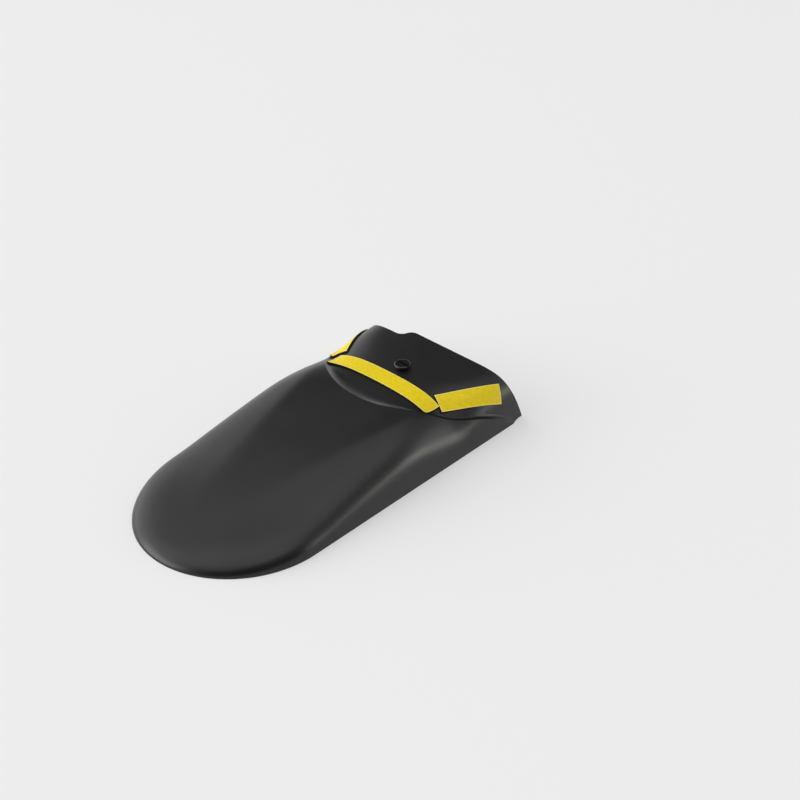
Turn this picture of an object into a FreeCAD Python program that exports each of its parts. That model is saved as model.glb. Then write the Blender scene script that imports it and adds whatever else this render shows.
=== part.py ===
import FreeCAD, Part
import math
import os

# Rear mudguard extender: a moulded black tongue that carries on a rear mudguard's lower end.
# The flap runs from a rounded tip to a sunk pad, whose depth takes the mudguard's edge.
# Three strips of foam tape and one slotted screw on the pad hold it inside the mudguard.
# It lies on its rim. X is across, Y runs from the tip to the pad, Z is up, in millimetres.
# Places along Y run from the tip. Sizes that end in back are measured from the far end.
# Every piece is moved to the middle at the end.

Vector = FreeCAD.Vector

# Outline and height of the moulded form
length = 274.8              # tip to the pad's lower corners
width = 134.6               # straight parallel sides
nose_length = 71.0          # half-ellipse tip
crown_height = 37.5         # flap's crown above the rim's plane
crown_level_back = 41.8     # the crown runs level from here
crown_bend = 2.0            # power of the crown line's fall towards the tip
tip_height = 5.7            # crown line carried on to the tip
tip_roll = 11.0             # how far in from the tip the lip rolls over
wall = 2.5                  # moulded wall

# Cross-section: exponent of the arch, 2 is an ellipse and higher is squarer
tip_squareness = 1.9
flap_squareness = 10.3
waist_squareness = 3.5
end_squareness = 9.2
waist_from_back = 122.8     # the section starts to soften towards the pad here
waist_at_back = 64.8        # is softest here
square_again_back = 14.8    # and has squared up again here

# Crown wedge: a level face between two soft creases that draw together towards the tip
crease_at_tip = 2.0         # half the wedge's width
crease_at_pad = 43.8
crease_soft_tip = 8.0       # rounding of the creases
crease_soft_pad = 2.2
facet_slope = 0.17          # fall of the faces outside the creases
facet_from = 90.0           # the fall is full from here
facet_to_back = 53.8        # and has died away here

# Sunk pad: its edge crosses the crown in a bow and sweeps back down both flanks
pad_depth = 2.2
pad_front_back = 97.3       # edge on the crown
pad_sweep = 86.0            # how much further back the edge meets the rim
pad_bend = 2.1              # power of that sweep
ramp_on_crown = 13.0        # hollow below the edge, measured along Y
ramp_beside = 4.0           # shorter beside the crown
ramp_beside_at = 0.48       # share of the way to the rim where it is shortest
ramp_at_rim = 10.0          # and drawn out to this at the rim
ramp_bend = 8               # power of that drawing out
ramp_lag = 0.35             # share of the wall by which the inner step comes first

# Pad's far end, cut on the slope, with a shallow step to the left
end_on_crown_back = 12.3
end_step = 9.0              # the left part is this much shorter
end_step_at = -27.0         # middle of the step, across
end_step_run = 12.0         # width of the step's double curve

# Slotted screw and its nut
screw_back = 50.7
screw_diameter = 6.0
screw_length = 16.0         # under the head
screw_tip_chamfer = 0.8
head_diameter = 11.5
head_height = 3.2
head_round = 1.1
slot_width = 1.6
slot_depth = 1.4
nut_across_flats = 10.0
nut_height = 5.0
nut_chamfer = 0.7
hole_clearance = 0.4        # on the screw's diameter, in the wall
thread_clearance = 0.1      # on the screw's diameter, in the nut
seat_gap = 0.12             # between a screw face and the wall

# Foam tape with its release liner
tape_width = 13.4
foam_thickness = 1.1
liner_thickness = 0.2
bond_gap = 0.03             # between a layer and what it sticks to
centre_tape_half = 45.5     # half its length, across
centre_tape_back = 70.6     # middle of its ends
centre_tape_bow = 2.0       # its middle lies this much further back
right_near_across = 43.8    # middles of the side strips' ends, across and back
right_near_back = 62.8
right_far_across = 61.4
right_far_back = 19.3
left_near_across = 51.8
left_near_back = 60.1
left_far_across = 64.2
left_far_back = 22.3
side_tape_lean = 44.0       # degrees that both lean over the shoulder

# Grid of the formula surfaces
column_count = 56
flap_row_count = 44
ramp_row_count = 8
pad_row_count = 8
overrun = 20.0              # extra length, cut away at the far end

# Places along Y that follow the length
crown_run = length - crown_level_back
waist_from = length - waist_from_back
waist_at = length - waist_at_back
square_again = length - square_again_back
facet_to = length - facet_to_back
pad_front = length - pad_front_back
end_on_crown = length - end_on_crown_back
screw_place = length - screw_back
centre_tape_place = length - centre_tape_back

parts_folder = "parts"


def ease(share):
    held = min(max(share, 0.0), 1.0)
    return held * held * (3.0 - 2.0 * held)


def half_width(y, inset):
    reach = min((y - inset) / (nose_length - inset), 1.0)
    return (width / 2.0 - inset) * math.sqrt(1.0 - (1.0 - reach) ** 2)


def crown(y, inset):
    fall = (crown_height - tip_height) * max(1.0 - y / crown_run, 0.0) ** crown_bend
    return crown_height - fall - inset


def lip(y, inset):
    roll = 1.0 - min((y - inset) / tip_roll, 1.0)
    return math.sqrt(1.0 - roll ** 2)


def squareness(y):
    risen = (flap_squareness - tip_squareness) * ease(y / nose_length)
    softened = (flap_squareness - waist_squareness) * ease((y - waist_from) / (waist_at - waist_from))
    squared = (end_squareness - waist_squareness) * ease((y - waist_at) / (square_again - waist_at))
    return tip_squareness + risen - softened + squared


def facet_fall(x, y):
    crease = crease_at_tip + (crease_at_pad - crease_at_tip) * y / pad_front
    soft = crease_soft_tip + (crease_soft_pad - crease_soft_tip) * ease(y / pad_front)
    slope = facet_slope * ease(y / facet_from) * (1.0 - ease((y - pad_front) / (facet_to - pad_front)))
    past = abs(x) - crease
    return slope * (past + math.hypot(past, soft)) / 2.0


def face_height(x, y, inset):
    reach = abs(x) / half_width(y, inset)
    arch = math.sqrt(max(1.0 - reach ** squareness(y), 0.0))
    return (crown(y, inset) - facet_fall(x, y)) * lip(y, inset) * arch


# A point of the form: share runs from -1 on the left rim, over the crown, to 1 on the right rim
def skin_point(y, share, inset):
    x = half_width(y, inset) * math.sin(share * math.pi / 2.0)
    return Vector(x, y, face_height(x, y, inset))


# Three stretches of rows that follow the pad's edge: flap, rounded step and pad.
# Each row is a function of the share that gives its place along Y and its inset.
def row_stretches(inset, depth):
    lag = ramp_lag * inset

    def step_front(share):
        return pad_front + pad_sweep * abs(share) ** pad_bend - lag * (1.0 + share ** 2)

    def step_length(share):
        crowned = (ramp_on_crown - ramp_beside) * (1.0 - ease(abs(share) / ramp_beside_at))
        return ramp_beside + crowned + (ramp_at_rim - ramp_beside) * share ** ramp_bend

    def flap_row(at):
        return lambda share: (inset + (step_front(share) - inset) * at ** 2, inset)

    def ramp_row(at):
        return lambda share: (step_front(share) + step_length(share) * at, inset + depth * at * (2.0 - at))

    def pad_row(at):
        def place(share):
            start = step_front(share) + step_length(share)
            return start + (length + overrun - start) * at, inset + depth
        return place

    stretches = ((flap_row, flap_row_count), (ramp_row, ramp_row_count), (pad_row, pad_row_count))
    return [[row(i / count) for i in range(count + 1)] for row, count in stretches]


# Smooth face through the points of a stretch of rows
def skin_face(rows, tip):
    across = [2.0 * j / column_count - 1.0 for j in range(column_count + 1)]
    along = [i / (len(rows) - 1) for i in range(len(rows))]
    row_poles = []
    for row in rows:
        if tip and row is rows[0]:
            row_poles.append([tip] * (column_count + 3))
            continue
        curve = Part.BSplineCurve()
        curve.interpolate(Points=[skin_point(row(s)[0], s, row(s)[1]) for s in across], Parameters=across)
        row_poles.append(curve.getPoles())
    poles = []
    for column in zip(*row_poles):
        rail = Part.BSplineCurve()
        rail.interpolate(Points=list(column), Parameters=along)
        poles.append(rail.getPoles())
    skin = Part.BSplineSurface()
    skin.buildFromPolesMultsKnots(poles, curve.getMultiplicities(), rail.getMultiplicities(),
                                  curve.getKnots(), rail.getKnots(), False, False, 3, 3)
    return skin.toShape()


# Solid under the form, inset from its outer face, with the pad sunk by a depth
def form(inset, depth):
    tip = Vector(0, inset, 0)
    flap, ramp, pad = row_stretches(inset, depth)
    skins = [skin_face(flap, tip), skin_face(ramp, None), skin_face(pad, None)]
    edges = [edge for skin in skins for edge in skin.Edges if not edge.Degenerated]
    rims = [edge for edge in edges if edge.BoundBox.ZMax < wall / 100.0]
    end_edge = max(edges, key=lambda edge: edge.CenterOfMass.y)
    corners = [vertex.Point for vertex in end_edge.Vertexes]
    chord = Part.makeLine(corners[0], corners[1])
    base = Part.Face(Part.Wire(Part.__sortEdges__(rims + [chord])))
    back = Part.Face(Part.Wire(Part.__sortEdges__([end_edge, chord])))
    shell = Part.Compound(skins + [base, back])
    shell.sewShape()
    solid = Part.Solid(shell.Shells[0])
    if solid.Volume < 0:
        solid.reverse()
    return solid


# Layer of tape or liner between two heights above the outer face, which it follows over the step
def tape_layer(bottom, top):
    return form(-top, pad_depth).cut(form(-bottom, pad_depth))


# Tool that trims the far end along a slanted curve with a step to the left
def end_trim():
    pad_top = crown_height - pad_depth
    lean = (length - end_on_crown) / pad_top
    half_run = end_step_run / 2.0
    half_step = end_step / 2.0
    radius = (half_run ** 2 + half_step ** 2) / (2.0 * half_step)
    half_turn = math.asin(half_run / radius) / 2.0
    aside = radius * math.sin(half_turn)
    ahead = radius * (1.0 - math.cos(half_turn))
    short = end_on_crown - end_step
    left = end_step_at - half_run
    right = end_step_at + half_run
    middle = Vector(end_step_at, short + half_step, 0)
    outline = [
        Part.makeLine(Vector(-width, short, 0), Vector(left, short, 0)),
        Part.Arc(Vector(left, short, 0), Vector(left + aside, short + ahead, 0), middle).toShape(),
        Part.Arc(middle, Vector(right - aside, end_on_crown - ahead, 0),
                 Vector(right, end_on_crown, 0)).toShape(),
        Part.makePolygon([Vector(right, end_on_crown, 0), Vector(width, end_on_crown, 0),
                          Vector(width, length + width, 0), Vector(-width, length + width, 0),
                          Vector(-width, short, 0)]),
    ]
    face = Part.Face(Part.Wire([edge for piece in outline for edge in piece.Edges]))
    rise = crown_height - pad_top + wall
    face.translate(Vector(0, -lean * rise, pad_top + rise))
    fall = pad_top + rise + wall
    return face.extrude(Vector(0, lean * fall, -fall))


def extender_shell():
    outer = form(0.0, pad_depth)
    inner = form(wall, pad_depth)
    hole = Part.makeCylinder((screw_diameter + hole_clearance) / 2.0, crown_height, Vector(0, screw_place, 0))
    return outer.cut(inner).cut(end_trim()).cut(hole)


def fixing_screw():
    seat = crown_height - pad_depth + seat_gap
    head = Part.makeCylinder(head_diameter / 2.0, head_height, Vector(0, screw_place, seat))
    top_edge = max(head.Edges, key=lambda edge: edge.BoundBox.ZMin)
    head = head.makeFillet(head_round, [top_edge])
    slot = Part.makeBox(head_diameter, slot_width, slot_depth,
                        Vector(-head_diameter / 2.0, screw_place - slot_width / 2.0,
                               seat + head_height - slot_depth))
    shank = Part.makeCylinder(screw_diameter / 2.0, screw_length, Vector(0, screw_place, seat - screw_length))
    low_edge = min(shank.Edges, key=lambda edge: edge.BoundBox.ZMax)
    shank = shank.makeChamfer(screw_tip_chamfer, [low_edge])
    return head.cut(slot).fuse(shank).removeSplitter()


def fixing_nut():
    top = crown_height - pad_depth - wall - seat_gap
    low = top - nut_height
    corner = nut_across_flats / math.sqrt(3.0)
    turns = [math.radians(60 * i) for i in range(7)]
    ring = [Vector(corner * math.cos(turn), screw_place + corner * math.sin(turn), low) for turn in turns]
    hexagon = Part.Face(Part.makePolygon(ring)).extrude(Vector(0, 0, nut_height))
    flat = nut_across_flats / 2.0
    cones = [
        Part.makeCone(flat + nut_height - nut_chamfer, flat - nut_chamfer, nut_height,
                      Vector(0, screw_place, low)),
        Part.makeCone(flat - nut_chamfer, flat + nut_height - nut_chamfer, nut_height,
                      Vector(0, screw_place, low)),
    ]
    for cone in cones:
        hexagon = hexagon.common(cone)
    bore = Part.makeCylinder((screw_diameter + thread_clearance) / 2.0, nut_height,
                             Vector(0, screw_place, low))
    return hexagon.cut(bore)


# Upright block that cuts the centre strip, bowed back in its middle
def centre_strip():
    half = tape_width / 2.0
    ends = centre_tape_place
    middle = centre_tape_place + centre_tape_bow
    reach = centre_tape_half
    front = Part.Arc(Vector(-reach, ends - half, 0), Vector(0, middle - half, 0),
                     Vector(reach, ends - half, 0))
    rear = Part.Arc(Vector(reach, ends + half, 0), Vector(0, middle + half, 0),
                    Vector(-reach, ends + half, 0))
    edges = [
        front.toShape(),
        Part.makeLine(Vector(reach, ends - half, 0), Vector(reach, ends + half, 0)),
        rear.toShape(),
        Part.makeLine(Vector(-reach, ends + half, 0), Vector(-reach, ends - half, 0)),
    ]
    return Part.Face(Part.Wire(edges)).extrude(Vector(0, 0, crown_height + wall))


# Block that cuts a side strip, which runs from the crown out over the shoulder
def side_strip(near_x, near_y, far_x, far_y):
    face = pad_depth - foam_thickness - liner_thickness - 2.0 * bond_gap
    near = Vector(near_x, near_y, face_height(near_x, near_y, face))
    axis = Vector(far_x, far_y, face_height(far_x, far_y, face)) - near
    lean = math.copysign(math.radians(side_tape_lean), near.x)
    outward = Vector(math.sin(lean), 0, math.cos(lean))
    block = Part.makeBox(tape_width, axis.Length, crown_height,
                         Vector(-tape_width / 2.0, 0, -crown_height / 2.0))
    block.Placement = FreeCAD.Placement(near, FreeCAD.Rotation(axis.cross(outward), axis, outward, "YXZ"))
    return block


def main():
    os.makedirs(parts_folder, exist_ok=True)
    foam_top = bond_gap + foam_thickness
    liner_bottom = foam_top + bond_gap
    foam = tape_layer(bond_gap, foam_top)
    liner = tape_layer(liner_bottom, liner_bottom + liner_thickness)
    strips = {
        "left": side_strip(-left_near_across, length - left_near_back,
                           -left_far_across, length - left_far_back),
        "centre": centre_strip(),
        "right": side_strip(right_near_across, length - right_near_back,
                            right_far_across, length - right_far_back),
    }
    pieces = {
        "extender_shell": extender_shell(),
        "fixing_screw": fixing_screw(),
        "fixing_nut": fixing_nut(),
    }
    for name, strip in strips.items():
        pieces[name + "_foam_tape"] = foam.common(strip)
        pieces[name + "_release_liner"] = liner.common(strip)
    for name, piece in pieces.items():
        solid = piece.Solids[0] if len(piece.Solids) == 1 else piece
        solid.translate(Vector(0, -length / 2.0, 0))
        box = solid.BoundBox
        print(name, len(piece.Solids), solid.isValid(), round(solid.Volume, 1),
              [round(v, 2) for v in (box.XMin, box.XMax, box.YMin, box.YMax, box.ZMin, box.ZMax)])
        solid.exportStep(os.path.join(parts_folder, name + ".step"))


main()
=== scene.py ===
import bpy
import math
from mathutils import Matrix, Vector

# Rear mudguard extender on a pale floor: looks only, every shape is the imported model's.

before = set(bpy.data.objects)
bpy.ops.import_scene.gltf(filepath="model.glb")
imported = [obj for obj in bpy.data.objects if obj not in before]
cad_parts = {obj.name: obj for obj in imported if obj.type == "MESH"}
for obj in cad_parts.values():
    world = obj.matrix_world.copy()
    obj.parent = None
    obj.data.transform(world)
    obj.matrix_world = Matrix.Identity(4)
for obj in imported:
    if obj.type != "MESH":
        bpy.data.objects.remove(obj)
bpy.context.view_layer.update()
scene = bpy.context.scene
scene.view_settings.view_transform = "Standard"
print("frame loaded:", ", ".join(sorted(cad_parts)))


def makeMaterial(name):
    material = bpy.data.materials.new(name)
    material.use_nodes = True
    tree = material.node_tree
    return material, tree, tree.nodes["Principled BSDF"]


def addNode(tree, kind, **settings):
    node = tree.nodes.new(kind)
    for key, value in settings.items():
        setattr(node, key, value)
    return node


def setInputs(node, **values):
    for key, value in values.items():
        node.inputs[key.replace("_", " ")].default_value = value


def opaque(colour):
    return (*colour, 1.0)


def dress(nodeName, material):
    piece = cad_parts[nodeName]
    piece.data.materials.clear()
    piece.data.materials.append(material)


# Fine surface break-up shared by all finishes: pitted grain as a height for bump, and slow patches

grainSet = {"detail": 2.0, "rough": 0.6, "pitSmooth": 0.6, "pitShare": 0.5,
            "patchRough": 0.55, "patchSpan": (0.3, 0.7)}


def makeGrainGroup():
    group = bpy.data.node_groups.new("fineGrain", "ShaderNodeTree")
    face = group.interface
    for label in ("Grain Scale", "Patch Scale", "Patch Detail"):
        face.new_socket(label, in_out="INPUT", socket_type="NodeSocketFloat")
    for label in ("Height", "Patch"):
        face.new_socket(label, in_out="OUTPUT", socket_type="NodeSocketFloat")
    entry = group.nodes.new("NodeGroupInput")
    leave = group.nodes.new("NodeGroupOutput")
    place = group.nodes.new("ShaderNodeTexCoord")
    grain = addNode(group, "ShaderNodeTexNoise", noise_dimensions="3D")
    setInputs(grain, Detail=grainSet["detail"], Roughness=grainSet["rough"])
    pits = addNode(group, "ShaderNodeTexVoronoi", feature="SMOOTH_F1")
    setInputs(pits, Smoothness=grainSet["pitSmooth"])
    patch = addNode(group, "ShaderNodeTexNoise", noise_dimensions="3D")
    setInputs(patch, Roughness=grainSet["patchRough"])
    height = addNode(group, "ShaderNodeMath", operation="MULTIPLY_ADD")
    height.inputs[1].default_value = grainSet["pitShare"]
    for node in (grain, pits, patch):
        group.links.new(place.outputs["Object"], node.inputs["Vector"])
    group.links.new(entry.outputs["Grain Scale"], grain.inputs["Scale"])
    group.links.new(entry.outputs["Grain Scale"], pits.inputs["Scale"])
    group.links.new(entry.outputs["Patch Scale"], patch.inputs["Scale"])
    group.links.new(entry.outputs["Patch Detail"], patch.inputs["Detail"])
    group.links.new(pits.outputs["Distance"], height.inputs[0])
    group.links.new(grain.outputs["Fac"], height.inputs[2])
    group.links.new(height.outputs[0], leave.inputs["Height"])
    group.links.new(patch.outputs["Fac"], leave.inputs["Patch"])
    return group


grainGroup = makeGrainGroup()


def addGrain(tree, finish):
    node = addNode(tree, "ShaderNodeGroup", node_tree=grainGroup)
    setInputs(node, Grain_Scale=finish["grain"], Patch_Scale=finish["patch"], Patch_Detail=finish["detail"])
    return node


def addRamp(tree, source, fromSpan, toSpan):
    ramp = addNode(tree, "ShaderNodeMapRange")
    setInputs(ramp, From_Min=fromSpan[0], From_Max=fromSpan[1], To_Min=toSpan[0], To_Max=toSpan[1])
    tree.links.new(source, ramp.inputs["Value"])
    return ramp.outputs["Result"]


def addTint(tree, source, first, second):
    mix = addNode(tree, "ShaderNodeMix", data_type="RGBA")
    mix.inputs["A"].default_value = opaque(first)
    mix.inputs["B"].default_value = opaque(second)
    tree.links.new(source, mix.inputs["Factor"])
    return mix.outputs["Result"]


def finishSurface(tree, shader, grain, colour, finish):
    rough = addRamp(tree, grain.outputs["Patch"], grainSet["patchSpan"], finish["rough"])
    bump = addNode(tree, "ShaderNodeBump")
    setInputs(bump, Strength=finish["bump"], Distance=finish["depth"])
    tree.links.new(grain.outputs["Height"], bump.inputs["Height"])
    tree.links.new(colour, shader.inputs["Base Color"])
    tree.links.new(rough, shader.inputs["Roughness"])
    tree.links.new(bump.outputs["Normal"], shader.inputs["Normal"])
    setInputs(shader, IOR=finish["ior"])


# Black plastics: the satin moulding, the glossier screw and nut, and the foam of the tape

shellFinish = {"name": "satinBlackMoulding", "deep": (0.0050, 0.0050, 0.0053),
               "worn": (0.0080, 0.0080, 0.0083), "grain": 1500.0, "patch": 22.0, "detail": 3.0,
               "rough": (0.27, 0.33), "bump": 0.16, "depth": 0.00006, "ior": 1.5}
screwFinish = {"name": "glossBlackScrew", "deep": (0.0060, 0.0060, 0.0065),
               "worn": (0.0120, 0.0120, 0.0125), "grain": 1100.0, "patch": 260.0, "detail": 3.0,
               "rough": (0.05, 0.12), "bump": 0.04, "depth": 0.00004, "ior": 1.52}
foamFinish = {"name": "blackFoam", "deep": (0.0040, 0.0040, 0.0040),
              "worn": (0.0110, 0.0108, 0.0105), "grain": 1800.0, "patch": 400.0, "detail": 3.0,
              "rough": (0.80, 0.95), "bump": 0.60, "depth": 0.00020, "ior": 1.4}


def makeBlackFinish(finish):
    material, tree, shader = makeMaterial(finish["name"])
    grain = addGrain(tree, finish)
    colour = addTint(tree, grain.outputs["Patch"], finish["deep"], finish["worn"])
    finishSurface(tree, shader, grain, colour, finish)
    return material


dress("extender_shell", makeBlackFinish(shellFinish))
screwBlack = makeBlackFinish(screwFinish)
for nodeName in ("fixing_screw", "fixing_nut"):
    dress(nodeName, screwBlack)
foamBlack = makeBlackFinish(foamFinish)
for side in ("left", "centre", "right"):
    dress(side + "_foam_tape", foamBlack)
print("black plastics and foam dressed")


# Yellow release liner: waxy paper with fine mottle, and a paler band along its edges that is a painted
# highlight.
# Each strip has its own frame, x across it and y along it, from the middles of its ends and its lean

linerFinish = {"name": "yellowLiner", "deep": (0.78, 0.58, 0.003), "pale": (0.89, 0.69, 0.006),
               "cut": (0.93, 0.80, 0.18), "halfWidth": 0.0067, "cutBand": 0.0007, "cutFade": (0.35, 1.0),
               "grain": 1600.0, "patch": 420.0, "detail": 4.0, "rough": (0.42, 0.58),
               "bump": 0.12, "depth": 0.00004, "ior": 1.45, "gloss": 0.3}
stripSet = {
    "left": {"near": (-0.0518, 0.0773, 0.0282), "far": (-0.0642, 0.1151, 0.0188),
             "lean": -44.0, "bow": 0.0},
    "centre": {"near": (-0.0455, 0.0668, 0.0350), "far": (0.0455, 0.0668, 0.0350),
               "lean": 0.0, "bow": -0.0020},
    "right": {"near": (0.0438, 0.0746, 0.0319), "far": (0.0614, 0.1181, 0.0262),
              "lean": 44.0, "bow": 0.0},
}


# Mask of a thin band along each strip's sides and ends, where the liner gets a painted edge highlight
def makeEdgeHighlightGroup(fade):
    group = bpy.data.node_groups.new("cutEdge", "ShaderNodeTree")
    face = group.interface
    face.new_socket("Vector", in_out="INPUT", socket_type="NodeSocketVector")
    for label in ("Half Width", "Half Length", "Bow", "Band"):
        face.new_socket(label, in_out="INPUT", socket_type="NodeSocketFloat")
    face.new_socket("Edge", in_out="OUTPUT", socket_type="NodeSocketFloat")
    entry = group.nodes.new("NodeGroupInput")
    leave = group.nodes.new("NodeGroupOutput")
    split = group.nodes.new("ShaderNodeSeparateXYZ")
    group.links.new(entry.outputs["Vector"], split.inputs["Vector"])

    def step(operation, first, second=None):
        node = addNode(group, "ShaderNodeMath", operation=operation)
        for socket, value in zip(node.inputs, (first, second)):
            if isinstance(value, float):
                socket.default_value = value
            elif value:
                group.links.new(value, socket)
        return node.outputs[0]

    share = step("DIVIDE", split.outputs["Y"], entry.outputs["Half Length"])
    bowed = step("MULTIPLY", entry.outputs["Bow"], step("SUBTRACT", 1.0, step("MULTIPLY", share, share)))
    across = step("ABSOLUTE", step("SUBTRACT", split.outputs["X"], bowed))
    fromSide = step("SUBTRACT", entry.outputs["Half Width"], across)
    fromEnd = step("SUBTRACT", entry.outputs["Half Length"], step("ABSOLUTE", split.outputs["Y"]))
    inwards = step("DIVIDE", step("MINIMUM", fromSide, fromEnd), entry.outputs["Band"])
    group.links.new(addRamp(group, inwards, fade, (1.0, 0.0)), leave.inputs["Edge"])
    return group


cutEdgeGroup = makeEdgeHighlightGroup(linerFinish["cutFade"])


def makeLiner(finish, side, strip):
    material, tree, shader = makeMaterial(finish["name"] + side.capitalize())
    near, far = Vector(strip["near"]), Vector(strip["far"])
    along = (far - near).normalized()
    lean = math.radians(strip["lean"])
    across = along.cross(Vector((math.sin(lean), 0.0, math.cos(lean)))).normalized()
    turn = Matrix((across, along, across.cross(along))).transposed()
    place = tree.nodes.new("ShaderNodeTexCoord")
    own = addNode(tree, "ShaderNodeMapping", vector_type="TEXTURE")
    setInputs(own, Location=(near + far) / 2.0, Rotation=turn.to_euler())
    tree.links.new(place.outputs["Object"], own.inputs["Vector"])
    edge = addNode(tree, "ShaderNodeGroup", node_tree=cutEdgeGroup)
    setInputs(edge, Half_Width=finish["halfWidth"], Half_Length=(far - near).length / 2.0,
              Bow=strip["bow"], Band=finish["cutBand"])
    tree.links.new(own.outputs["Vector"], edge.inputs["Vector"])
    grain = addGrain(tree, finish)
    mottle = addRamp(tree, grain.outputs["Patch"], grainSet["patchSpan"], (0.0, 1.0))
    # A paler colour mixed in along that band: a painted highlight on the strip's edges
    highlighted = addNode(tree, "ShaderNodeMix", data_type="RGBA")
    highlighted.inputs["B"].default_value = opaque(finish["cut"])
    tree.links.new(edge.outputs["Edge"], highlighted.inputs["Factor"])
    tree.links.new(addTint(tree, mottle, finish["deep"], finish["pale"]), highlighted.inputs["A"])
    finishSurface(tree, shader, grain, highlighted.outputs["Result"], finish)
    setInputs(shader, Specular_IOR_Level=finish["gloss"])
    return material


for side, strip in stripSet.items():
    dress(side + "_release_liner", makeLiner(linerFinish, side, strip))
print("liners dressed")


# Camera: the photograph's angle, with an 85 mm lens

cameraSet = {"lens": 85.0, "sensor": 36.0, "azimuth": 42.651, "elevation": 34.464, "distance": 1.31483,
             "target": (-0.0092, 0.09446, 0.0)}


def direction(azimuth, elevation):
    turn = math.radians(azimuth)
    rise = math.radians(elevation)
    return Vector((math.sin(turn) * math.cos(rise), -math.cos(turn) * math.cos(rise), math.sin(rise)))


def aim(thing, place, target):
    thing.location = place
    thing.rotation_euler = (target - place).to_track_quat("-Z", "Y").to_euler()


cameraData = bpy.data.cameras.new("productCamera")
cameraData.lens = cameraSet["lens"]
cameraData.sensor_fit = "HORIZONTAL"
cameraData.sensor_width = cameraSet["sensor"]
camera = bpy.data.objects.new("productCamera", cameraData)
scene.collection.objects.link(camera)
cameraTarget = Vector(cameraSet["target"])
cameraWay = direction(cameraSet["azimuth"], cameraSet["elevation"])
aim(camera, cameraTarget + cameraWay * cameraSet["distance"], cameraTarget)
scene.camera = camera
print("camera set")


# Soft studio: a broad box in front on the left

lampSet = {"name": "leftFrontBox", "azimuth": -38.0, "elevation": 15.0, "distance": 2.6,
           "target": (0.0, 0.0, 0.02), "size": (2.00, 1.50), "radiance": 2.1}
lampData = bpy.data.lights.new(lampSet["name"], "AREA")
lampData.shape = "RECTANGLE"
lampData.size, lampData.size_y = lampSet["size"]
lampData.energy = lampSet["radiance"] * math.pi * math.prod(lampSet["size"])
lamp = bpy.data.objects.new(lampSet["name"], lampData)
scene.collection.objects.link(lamp)
lampWay = direction(lampSet["azimuth"], lampSet["elevation"])
aim(lamp, lampWay * lampSet["distance"], Vector(lampSet["target"]))

# Room: dim, with soft glows of pale walls and ceiling, and a pale backdrop that only the camera sees.
# Each glow is full within its core, in degrees, and gone at its edge

roomSet = {"seen": (0.86, 0.86, 0.865), "dim": (0.08, 0.08, 0.08), "tint": (1.0, 1.0, 1.0)}
glowSet = [
    {"name": "leftWall", "azimuth": -58.0, "elevation": 2.0, "core": 3.0, "edge": 78.0, "level": 1.75},
    {"name": "ceiling", "azimuth": 96.0, "elevation": 88.0, "core": 2.0, "edge": 51.0, "level": 1.15},
    {"name": "upperRight", "azimuth": 93.0, "elevation": 51.0, "core": 16.0, "edge": 22.0, "level": 0.33},
    {"name": "rightWall", "azimuth": 133.0, "elevation": 20.0, "core": 21.0, "edge": 27.0, "level": 0.45},
    {"name": "rightCorner", "azimuth": 143.0, "elevation": 17.0, "core": 7.0, "edge": 14.0, "level": 1.3},
    {"name": "rightStrip", "azimuth": 129.0, "elevation": 4.0, "core": 6.0, "edge": 12.0, "level": 4.6,
     "tint": (1.0, 0.97, 0.88)},
    {"name": "backCorner", "azimuth": 158.0, "elevation": 37.0, "core": 11.0, "edge": 17.0, "level": 0.46},
    {"name": "backSweep", "azimuth": -152.0, "elevation": -32.0, "core": 41.0, "edge": 54.0, "level": 1.15},
    {"name": "leftBackPanel", "azimuth": -119.0, "elevation": 23.0, "core": 6.0, "edge": 14.0, "level": 0.5},
]
world = bpy.data.worlds.new("paleRoom")
scene.world = world
world.use_nodes = True
worldTree = world.node_tree
worldPlace = worldTree.nodes.new("ShaderNodeTexCoord")
room = None
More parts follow.
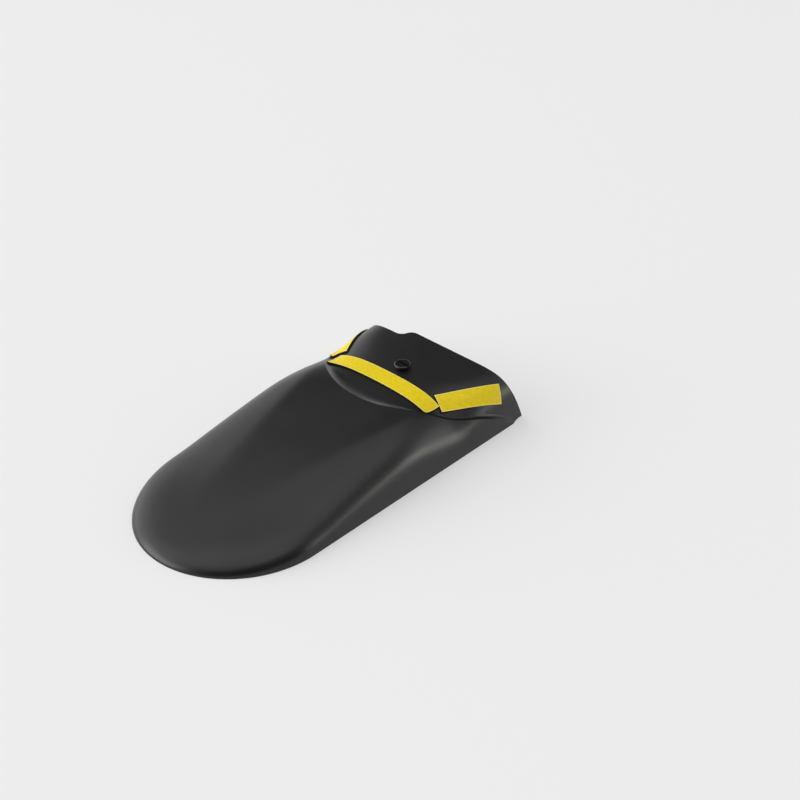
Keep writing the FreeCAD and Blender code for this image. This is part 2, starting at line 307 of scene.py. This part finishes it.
for glow in glowSet:
    facing = addNode(worldTree, "ShaderNodeVectorMath", operation="DOT_PRODUCT", label=glow["name"])
    facing.inputs[1].default_value = direction(glow["azimuth"], glow["elevation"])
    worldTree.links.new(worldPlace.outputs["Generated"], facing.inputs[0])
    light = addNode(worldTree, "ShaderNodeMapRange", interpolation_type="SMOOTHSTEP")
    setInputs(light, From_Min=math.cos(math.radians(glow["edge"])),
              From_Max=math.cos(math.radians(glow["core"])), To_Max=glow["level"])
    worldTree.links.new(facing.outputs["Value"], light.inputs["Value"])
    total = addNode(worldTree, "ShaderNodeVectorMath", operation="MULTIPLY_ADD")
    total.inputs[1].default_value = glow.get("tint", roomSet["tint"])
    total.inputs[2].default_value = roomSet["dim"]
    if room:
        worldTree.links.new(room, total.inputs[2])
    worldTree.links.new(light.outputs["Result"], total.inputs[0])
    room = total.outputs["Vector"]
worldPath = worldTree.nodes.new("ShaderNodeLightPath")
seen = addNode(worldTree, "ShaderNodeMix", data_type="RGBA")
seen.inputs["B"].default_value = opaque(roomSet["seen"])
worldTree.links.new(room, seen.inputs["A"])
worldTree.links.new(worldPath.outputs["Is Camera Ray"], seen.inputs["Factor"])
worldTree.links.new(seen.outputs["Result"], worldTree.nodes["Background"].inputs["Color"])
print("studio lit")

# Pale floor: to the camera and in reflections it partly glows in its own tone, so its shadow stays light

floorSet = {"size": 8.0, "tone": (0.93, 0.93, 0.935), "rough": 0.85, "gloss": 0.1,
            "glow": (0.83, 0.83, 0.835), "glowShare": 0.4}
bpy.ops.mesh.primitive_plane_add(size=floorSet["size"])
floor = bpy.context.object
floor.name = "paleFloor"
floorMaterial, floorTree, floorShader = makeMaterial("paleFloor")
setInputs(floorShader, Base_Color=opaque(floorSet["tone"]), Roughness=floorSet["rough"],
          Specular_IOR_Level=floorSet["gloss"])
floorGlow = floorTree.nodes.new("ShaderNodeEmission")
setInputs(floorGlow, Color=opaque(floorSet["glow"]))
floorPath = floorTree.nodes.new("ShaderNodeLightPath")
floorRays = addNode(floorTree, "ShaderNodeMath", operation="ADD")
floorShare = addNode(floorTree, "ShaderNodeMath", operation="MULTIPLY")
floorShare.inputs[1].default_value = floorSet["glowShare"]
floorMix = floorTree.nodes.new("ShaderNodeMixShader")
floorTree.links.new(floorPath.outputs["Is Camera Ray"], floorRays.inputs[0])
floorTree.links.new(floorPath.outputs["Is Glossy Ray"], floorRays.inputs[1])
floorTree.links.new(floorRays.outputs[0], floorShare.inputs[0])
floorTree.links.new(floorShare.outputs[0], floorMix.inputs["Fac"])
floorTree.links.new(floorShader.outputs["BSDF"], floorMix.inputs[1])
floorTree.links.new(floorGlow.outputs["Emission"], floorMix.inputs[2])
floorTree.links.new(floorMix.outputs["Shader"], floorTree.nodes["Material Output"].inputs["Surface"])
floor.data.materials.append(floorMaterial)
print("floor laid")
